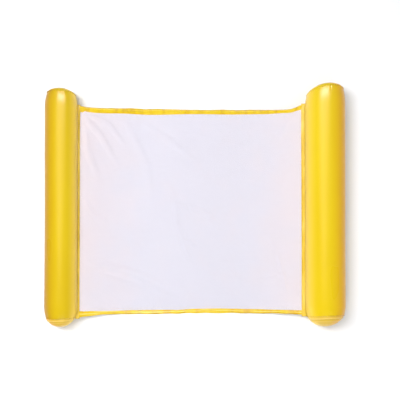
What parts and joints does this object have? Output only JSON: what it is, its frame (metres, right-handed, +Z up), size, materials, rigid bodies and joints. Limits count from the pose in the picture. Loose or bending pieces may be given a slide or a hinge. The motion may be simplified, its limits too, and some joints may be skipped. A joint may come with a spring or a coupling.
{
  "type": "water hammock pool float",
  "caption": "Water hammock: a thick and a thin inflated vinyl tube joined by a sheet of fine white mesh with welded vinyl edges.",
  "frame": {"origin": "on the floor, under the middle of the whole object's box", "axes": "+X from the thin foot tube to the thick head tube, +Y along the tubes to their far ends, +Z up"},
  "size_m": [1.2, 0.976, 0.1586],
  "materials": {
    "tube_vinyl": "gloss",
    "edge_vinyl": "gloss",
    "seat_mesh": "matte",
    "valve_plastic": "satin"
  },
  "bodies": {
    "head_seat": {"mesh_head_half": "seat_mesh", "near_hem_head_half": "edge_vinyl", "far_hem_head_half": "edge_vinyl"},
    "head_tube": {"head_tube_wall": "tube_vinyl", "head_near_cap": "tube_vinyl", "head_far_cap": "tube_vinyl", "head_flange_upper": "edge_vinyl", "head_flange_lower": "edge_vinyl", "head_valve_base": "tube_vinyl", "head_valve_neck": "valve_plastic"},
    "head_stem": {"head_valve_stem": "valve_plastic", "head_valve_strap": "valve_plastic"},
    "head_plug": {"head_valve_plug": "valve_plastic"},
    "head_flap": {"head_valve_flap": "valve_plastic"},
    "foot_seat": {"mesh_foot_half": "seat_mesh", "near_hem_foot_half": "edge_vinyl", "far_hem_foot_half": "edge_vinyl"},
    "foot_tube": {"foot_tube_wall": "tube_vinyl", "foot_near_cap": "tube_vinyl", "foot_far_cap": "tube_vinyl", "foot_flange_upper": "edge_vinyl", "foot_flange_lower": "edge_vinyl", "foot_valve_base": "tube_vinyl", "foot_valve_neck": "valve_plastic"},
    "foot_stem": {"foot_valve_stem": "valve_plastic", "foot_valve_strap": "valve_plastic"},
    "foot_plug": {"foot_valve_plug": "valve_plastic"},
    "foot_flap": {"foot_valve_flap": "valve_plastic"}
  },
  "joints": [
    {"name": "seat_fold", "type": "hinge", "parent": "head_seat", "child": "foot_seat", "pos_m": [-0.01656, 0, 0.0018], "axis": [0, 1, 0], "range_deg": [0, 115]},
    {"name": "head_tube_fold", "type": "hinge", "parent": "head_seat", "child": "head_tube", "pos_m": [0.42497, 0, 0.057], "axis": [0, -1, 0], "range_deg": [0, 120], "deforming": ["head_flange_upper", "head_flange_lower"]},
    {"name": "head_stem_slide", "type": "slide", "parent": "head_tube", "child": "head_stem", "axis": [0.866, 0, -0.5], "range_m": [0, 0.014], "deforming": ["head_valve_neck"]},
    {"name": "head_plug_slide", "type": "slide", "parent": "head_stem", "child": "head_plug", "axis": [0.866, 0, -0.5], "range_m": [0, 0.012], "deforming": ["head_valve_strap"]},
    {"name": "head_flap_hinge", "type": "hinge", "parent": "head_stem", "child": "head_flap", "pos_m": [0.57839, -0.3348, 0.04487], "axis": [0.5, 0, 0.866], "range_deg": [0, 50], "stiffness_Nm_per_rad": 0.0001},
    {"name": "foot_tube_fold", "type": "hinge", "parent": "foot_seat", "child": "foot_tube", "pos_m": [-0.45809, 0, 0.048], "axis": [0, 1, 0], "range_deg": [0, 120], "deforming": ["foot_flange_upper", "foot_flange_lower"]},
    {"name": "foot_stem_slide", "type": "slide", "parent": "foot_tube", "child": "foot_stem", "axis": [-0.866, 0, -0.5], "range_m": [0, 0.014], "deforming": ["foot_valve_neck"]},
    {"name": "foot_plug_slide", "type": "slide", "parent": "foot_stem", "child": "foot_plug", "axis": [-0.866, 0, -0.5], "range_m": [0, 0.012], "deforming": ["foot_valve_strap"]},
    {"name": "foot_flap_hinge", "type": "hinge", "parent": "foot_stem", "child": "foot_flap", "pos_m": [-0.58026, 0.3252, 0.03779], "axis": [0.5, 0, -0.866], "range_deg": [0, 50], "stiffness_Nm_per_rad": 0.0001}
  ]
}
